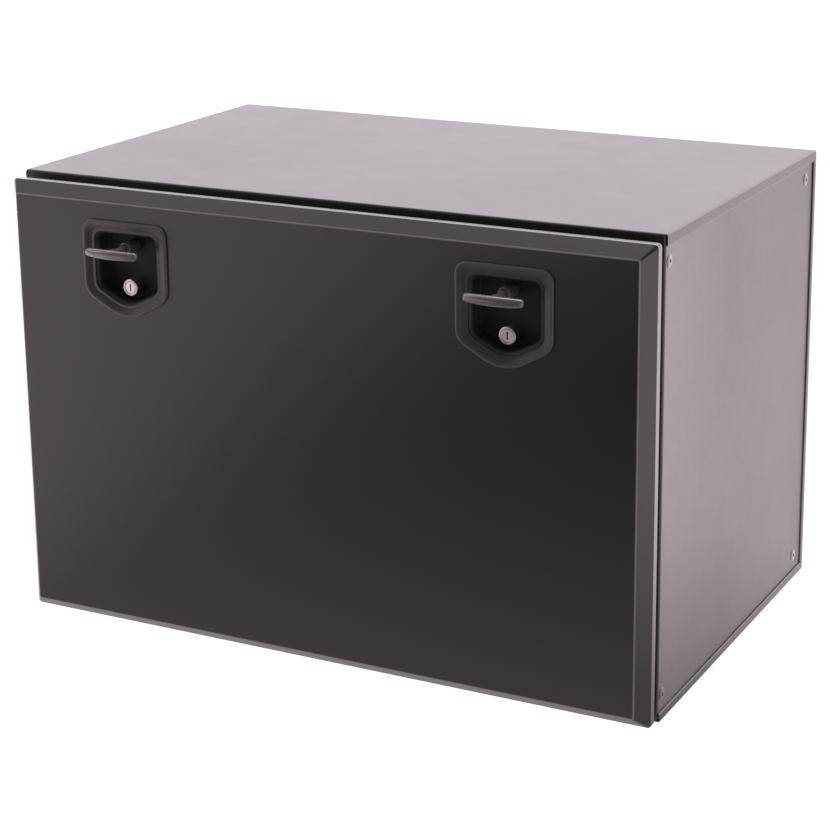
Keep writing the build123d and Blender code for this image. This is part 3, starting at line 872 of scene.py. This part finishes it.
@dataclass
class Door:
    """Bevelled door skin, its inner liner and the hinge."""

    sheet: float = 1.5 * MM
    bevel: float = 13.0 * MM
    lip: float = 7.8 * MM
    lip_bend: float = 1.1 * MM
    field_bend: float = 3.0 * MM
    corner: float = 4.0 * MM
    steps: int = 5

    def levels(self) -> list[tuple[float, float, float]]:
        """Rings of the tray as (inset, height over the return edge, edge value)."""
        rise = -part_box("door_skin")[0].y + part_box("door_skin")[1].y
        slope = math.atan2(rise - self.lip, self.bevel)
        path = [(0.0, 0.0), (0.0, self.lip), (self.bevel, rise), (self.bevel + 30 * MM, rise)]
        # edge values: 0.6 on the lip's cut edge, 1 inside both bends; the door coat lightens these as painted
        # highlight lines
        found = [(0.0, 0.0, 0.6)]
        for i, radius in ((1, self.lip_bend), (2, self.field_bend)):
            start, end = (90.0, math.degrees(slope)) if i == 1 else (math.degrees(slope), 0.0)
            back = radius * math.tan(math.radians(start - end) / 2)
            inset = path[i][0] - back * math.cos(math.radians(start))
            height = path[i][1] - back * math.sin(math.radians(start))
            first = math.radians(start)
            centre = (inset + radius * math.sin(first), height - radius * math.cos(first))
            for k in range(self.steps + 1):
                a = math.radians(start + (end - start) * k / self.steps)
                place = (centre[0] - radius * math.sin(a), centre[1] + radius * math.cos(a))
                found.append((*place, 1.0 if 0 < k < self.steps else 0.2))
        found.append((found[-1][0] + 2.0 * MM, rise, 0.0))
        return found

    def skin(self) -> bpy.types.Object:
        """Pressed tray with openings for the latch dishes."""
        low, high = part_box("door_skin")
        middle = (low + high) / 2
        skin = Skin()
        rows = []
        for inset, rise, edge in self.levels():
            wide, tall = (high.x - low.x) / 2 - inset, (high.z - low.z) / 2 - inset
            soft = max(self.corner - inset * 0.38, 1.6 * MM)
            shape = rounded([(-wide, -tall), (wide, -tall), (wide, tall), (-wide, tall)], [soft] * 4, 6)
            rows.append(skin.points([(middle.x + x, high.y - rise, middle.z + z) for x, z in shape], edge))
        skin.loft(rows)
        border = [skin.bm.edges.get((a, b)) for a, b in zip(rows[-1], rows[-1][1:] + rows[-1][:1])]
        for side in SIDES:
            spindle = latch_axis(side)
            hole = skin.points([(spindle.x + x, low.y, spindle.z + z) for x, z in CUTOUT.outline()])
            border += [skin.bm.edges.new(pair) for pair in zip(hole, hole[1:] + hole[:1])]
        bmesh.ops.triangle_fill(skin.bm, edges=border, use_beauty=True, normal=(0, -1, 0))
        piece = skin.object("door_pan", Coat.DOOR)
        thicken(piece, self.sheet)
        return piece

    def build(self) -> None:
        """Make the skin and dress the pieces behind it."""
        place(self.skin(), "door", "door_powder_coat", "door_skin")
        dress("door_liner", Coat.DOOR)
        for part in ("body_leaf", "door_leaf", "pin", "rivets_body", "rivets_door"):
            dress(f"hinge_{part}", Coat.ZINC)
        for side in SIDES:
            dress(f"door_stiffener_{side}", Coat.DOOR)
            dress(f"stay_bracket_{side}", Coat.DOOR)
            dress(f"stay_pivot_{side}", Coat.ZINC)
            dress(f"stay_bar_{side}", Coat.ZINC)


def latch_axis(side: str) -> Vector:
    """Centre of a latch's spindle, from its square nut."""
    low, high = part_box(f"cam_nut_{side}")
    return (low + high) / 2


# ------------------------------------------------------------------ the latches
@dataclass
class Latch:
    """One T-handle latch: dish, handle, spindle and lock."""

    side: str
    rim: float = 3.2
    depth: float = 20.0
    bar_tall: float = 10.6 * MM
    bar_deep: float = 9.0 * MM
    bar_half: float = 32.0 * MM
    bow: float = 4.0 * MM
    droop: float = 0.8 * MM

    def facing(self, x: float, front: float, z: float) -> tuple[float, float, float]:
        """A point near this latch, from its distance in front of the origin."""
        return (self.axis.x + x, -front, self.axis.z + z)

    @property
    def axis(self) -> Vector:
        """The spindle's axis."""
        return latch_axis(self.side)

    def dish(self) -> bpy.types.Object:
        """Raised bead, soft slope and deep pocket."""
        face = -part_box("door_skin")[0].y
        # slope rows: (share towards the pocket, height, edge value); the edge value is high on the bead and
        # at the pocket mouth, which the dish colour lightens as a painted highlight
        rise, slope = self.rim, (
            (0.0, -0.3, 0.2), (0.0, 0.30, 0.6), (0.012, 0.62, 1.0), (0.04, 0.85, 1.0), (0.085, 0.97, 1.0),
            (0.14, 1.0, 0.8), (0.21, 0.96, 0.3), (0.30, 0.80, 0.0), (0.44, 0.45, 0.0), (0.60, 0.05, 0.0),
            (0.74, -0.28, 0.0), (0.85, -0.62, 0.1), (0.92, -0.95, 0.5), (0.97, -1.4, 0.6), (1.0, -2.1, 0.3),
        )
        skin = Skin()
        rows = []
        for share, height, edge in slope:
            shape = OUTER.towards(POCKET, share).outline()
            rows.append(skin.points([self.facing(x, face + height * rise * MM, z) for x, z in shape], edge))
        for share, height in ((0.25, -0.88), (0.45, -0.95), (0.75, -0.99), (1.0, -1.0)):
            shape = POCKET.towards(FLOOR, share).outline()
            rows.append(skin.points([self.facing(x, face + height * self.depth * MM, z) for x, z in shape]))
        skin.loft(rows)
        skin.cap(rows[-1])
        piece = skin.object(f"dish_{self.side}", Coat.DISH, 40.0)
        wall = piece.modifiers.new("sheet", "SOLIDIFY")
        wall.thickness = 1.4 * MM
        wall.offset = -1.0
        settle(piece, 40.0)
        return piece

    def handle(self) -> bpy.types.Object:
        """Bowed bar of rounded-square section on a flared stem."""
        reach = -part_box(f"t_handle_{self.side}")[0].y - self.bar_deep / 2
        fold = self.fold_front()
        skin = Skin()
        ends = [(-1.0, 0.25), (-0.992, 0.55), (-0.97, 0.82), (-0.93, 0.96)]
        stations = ends + [(-0.88 + 1.76 * k / 18, 1.0) for k in range(19)]
        stations += [(-s, scale) for s, scale in ends[::-1]]
        rows = []
        for s, scale in stations:
            tall = self.bar_tall / 2 * scale * (1.0 - 0.22 * s * s)
            deep = self.bar_deep / 2 * scale * (1.0 - 0.15 * s * s)
            lean = math.atan2(2 * self.bow * s, self.bar_half)
            ring = []
            for a in (2 * math.pi * k / 28 for k in range(28)):
                d = deep * math.copysign(abs(math.cos(a)) ** 0.8, math.cos(a))
                z = tall * math.copysign(abs(math.sin(a)) ** 0.8, math.sin(a))
                front = reach - self.bow * s * s - math.cos(lean) * d
                ring.append(self.facing(s * self.bar_half - math.sin(lean) * d, front, z - self.droop))
            rows.append(skin.points(ring, 0.7))
        skin.loft(rows)
        skin.cap(rows[0][::-1])
        skin.cap(rows[-1])
        length = reach - fold
        profile = [(3.6 * MM, 8.6 * MM), (4.3 * MM, 9.2 * MM), (4.4 * MM, 10.4 * MM), (3.9 * MM, 12.0 * MM),
                   (3.6 * MM, 16.0 * MM), (4.0 * MM, length - 9 * MM), (4.8 * MM, length - 5 * MM),
                   (4.8 * MM, length - 2.0 * MM)]
        skin.turned(profile, self.facing(0.0, fold, 0.0), (0, -1, 0), 32, 0.3)
        piece = skin.object(f"t_bar_{self.side}", Coat.HANDLE, 50.0)
        tang = Skin()
        section = [(fold + 10.0 * MM, 3.8 * MM)] + arc((fold, 0.0), 3.8 * MM, 90, 270, 14)
        section.append((fold + 10.0 * MM, -3.8 * MM))
        sides = [tang.points([self.facing(x, q, z) for q, z in section], 0.3) for x in (-2.4 * MM, 2.4 * MM)]
        tang.join(*sides)
        tang.cap(sides[0][::-1])
        tang.cap(sides[1])
        other = tang.object(f"tang_{self.side}", Coat.HANDLE)
        merge(piece, other)
        return piece

    def fold_front(self) -> float:
        """Distance of the fold pin in front of the origin."""
        low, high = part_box(f"fold_pin_{self.side}")
        return -(low.y + high.y) / 2

    def lock(self) -> bpy.types.Object:
        """Stepped lock bezel with a turned face round the plug."""
        low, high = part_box(f"lock_cylinder_{self.side}")
        centre = (low + high) / 2
        bore, collar, barrel = 6.05 * MM, 9.2 * MM, 8.5 * MM
        length = high.y - low.y
        floor = 14.0 * MM
        profile = [
            (7.9 * MM, length), (7.9 * MM, floor), (barrel, floor), (barrel, 4.4 * MM), (barrel, 4.0 * MM),
            (collar - 0.3 * MM, 3.9 * MM), (collar, 3.6 * MM), (collar, 1.1 * MM), (9.0 * MM, 0.5 * MM),
            (8.6 * MM, 0.15 * MM), (8.1 * MM, 0.0), (7.5 * MM, 0.05 * MM), (7.3 * MM, 0.5 * MM),
            (7.0 * MM, 0.62 * MM),
            (6.8 * MM, 0.3 * MM), (6.5 * MM, 0.2 * MM), (bore, 0.35 * MM), (bore, 1.2 * MM), (bore, length),
        ]
        skin = Skin()
        rows = []
        for radius, along in profile:
            ring = [(centre.x + radius * math.cos(a), low.y + along, centre.z + radius * math.sin(a))
                    for a in (2 * math.pi * k / 64 for k in range(64))]
            rows.append(skin.points(ring, 0.5))
        skin.loft(rows)
        skin.join(rows[-1], rows[0])
        return skin.object(f"lock_bezel_{self.side}", Coat.NICKEL, 28.0)

    def build(self) -> None:
        """Make the seen pieces and dress the rest."""
        side = self.side
        place(self.dish(), "door", "dish_black", f"latch_dish_{side}")
        place(self.handle(), f"handle_{side}", "handle_grey", f"t_handle_{side}")
        place(self.lock(), "door", "lock_nickel", f"lock_cylinder_{side}")
        for part in ("dish_clamp", "lock_nut", "latch_cam", "cam_nut", "fold_pin"):
            dress(f"{part}_{side}", Coat.ZINC)
        for part in ("lock_plug", "lock_pawl"):
            dress(f"{part}_{side}", Coat.NICKEL)
        dress(f"dish_spacers_{side}", Coat.RUBBER)
        dress(f"latch_spindle_{side}", Coat.SPINDLE)


def merge(keep: bpy.types.Object, other: bpy.types.Object) -> None:
    """Add one mesh to another and delete the spare object."""
    joined = bmesh.new()
    joined.from_mesh(keep.data)
    joined.from_mesh(other.data)
    joined.to_mesh(keep.data)
    joined.free()
    bpy.data.objects.remove(other)


# ------------------------------------------------------------------ studio
@dataclass
class Studio:
    """White sweep, soft lights and the camera."""

    place: tuple[float, float, float] = (1.09968, -2.11937, 0.97535)
    pan: float = 0.4731
    tilt: float = -0.2595
    roll: float = 0.0094
    lens: float = 94.996
    shift: tuple[float, float] = (-0.0301, -0.1386)

    def camera(self) -> None:
        """Camera beside the right front corner, a little above the box."""
        data = bpy.data.cameras.new("camera")
        data.lens = self.lens
        data.sensor_width = 36.0
        data.shift_x, data.shift_y = self.shift
        made = bpy.data.objects.new("camera", data)
        bpy.context.scene.collection.objects.link(made)
        aim = Matrix.Rotation(self.pan, 4, "Z") @ Matrix.Rotation(self.tilt, 4, "X")
        aim = aim @ Matrix.Rotation(self.roll, 4, "Y") @ Matrix.Rotation(math.pi / 2, 4, "X")
        made.matrix_world = Matrix.Translation(self.place) @ aim
        bpy.context.scene.camera = made
        bpy.context.scene.view_settings.view_transform = "Standard"

    def floor(self) -> None:
        """Pale floor that glows: plain white where the camera sees it, and for reflections and bounce a
        patterned light, brightest behind the box.
        """
        skin = Skin()
        reach, under = 6.0, -0.5 * MM
        corners = ((-reach, -reach), (reach, -reach), (reach, reach), (-reach, reach))
        skin.cap(skin.points([(x, y, under) for x, y in corners]))
        floor = skin.object("floor", Coat.BODY)
        floor.data.materials.clear()
        paper = bpy.data.materials.new("floor_paper")
        paper.use_nodes = True
        graph = Graph(paper.node_tree)
        across = graph.node("ShaderNodeSeparateXYZ", {}, {0: graph.coordinates()}, "X") * 0.25 + 0.5
        along = graph.node("ShaderNodeSeparateXYZ", {}, {0: graph.coordinates()}, "Y") * 0.25 + 0.5
        behind = graph.ramp(along, [(0.44, 0.0), (0.58, 1.0)])
        left = graph.ramp(across, [(0.20, 1.0), (0.325, 0.66), (0.41, 0.03), (0.62, 0.0), (0.78, 0.9)])
        near = graph.ramp(along, [(0.20, 0.0), (0.43, 1.0)])
        front = left * 1.5 + near * 0.75
        seen = graph.node("ShaderNodeLightPath", output="Is Camera Ray")
        glow = (behind * 2.7 + front * (1.0 - behind)) * (1.0 - seen) + seen * 1.2
        shader = graph.node("ShaderNodeEmission", {}, {"Color": FLOOR_TINT, "Strength": glow})
        graph.node("ShaderNodeOutputMaterial", {}, {"Surface": shader})
        floor.data.materials.append(paper)

    def world(self) -> None:
        """Bright studio behind the box, dim room in front of it."""
        world = bpy.data.worlds.new("studio")
        bpy.context.scene.world = world
        world.use_nodes = True
        graph = Graph(world.node_tree)
        direction = graph.node("ShaderNodeTexCoord", output="Generated")
        away = graph.node("ShaderNodeSeparateXYZ", {}, {0: direction}, "Y")
        side = graph.node("ShaderNodeSeparateXYZ", {}, {0: direction}, "X")
        behind = graph.ramp(away * 0.5 + 0.5, [(0.15, 0.03), (0.45, 0.16), (0.75, 1.0)])
        left = graph.ramp(side * 0.5 + 0.5, [(0.15, 1.0), (0.9, 0.85)])
        seen = graph.node("ShaderNodeLightPath", output="Is Camera Ray")
        glow = (behind * left * 3.1) * (1.0 - seen) + seen * 1.2
        shader = graph.node("ShaderNodeBackground", {}, {"Color": SKY_TINT, "Strength": glow})
        graph.node("ShaderNodeOutputWorld", {}, {"Surface": shader})

    def lamp(self, name: str, spot: tuple, aim: tuple, size: tuple, power: float) -> None:
        """One rectangular soft light.

        Args:
            name: Name of the light.
            spot: Where it stands.
            aim: The point that it faces.
            size: Width and height in metres.
            power: Power in watts.
        """
        data = bpy.data.lights.new(name, "AREA")
        data.shape = "RECTANGLE"
        data.size, data.size_y = size
        data.energy = power
        data.color = (1.0, 0.9, 0.95)
        made = bpy.data.objects.new(name, data)
        bpy.context.scene.collection.objects.link(made)
        made.location = spot
        made.rotation_euler = (Vector(aim) - Vector(spot)).to_track_quat("-Z", "Y").to_euler()

    def build(self) -> None:
        """Set the whole studio up."""
        self.camera()
        self.floor()
        self.world()
        self.lamp("overhead", (0.3, 0.4, 2.6), (0.0, 0.0, 0.3), (2.4, 1.6), 40.0)
        self.lamp("left_key", (-2.4, -1.6, 1.5), (-0.1, -0.25, 0.3), (1.2, 1.4), 12.0)
        self.lamp("top_key", (-1.3, -1.2, 2.2), (-0.1, -0.25, 0.45), (1.6, 1.4), 3.0)
        log.info("studio ready")


def main() -> None:
    """Build the sub-assemblies in order and set up the studio."""
    logging.basicConfig(level=logging.INFO, format="%(name)s: %(message)s")
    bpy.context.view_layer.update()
    BodyShell().build()
    DoorSeal().build()
    Door().build()
    for side in SIDES:
        Latch(side).build()
    Studio().build()
    bpy.context.view_layer.update()


if __name__ == "__main__":
    main()
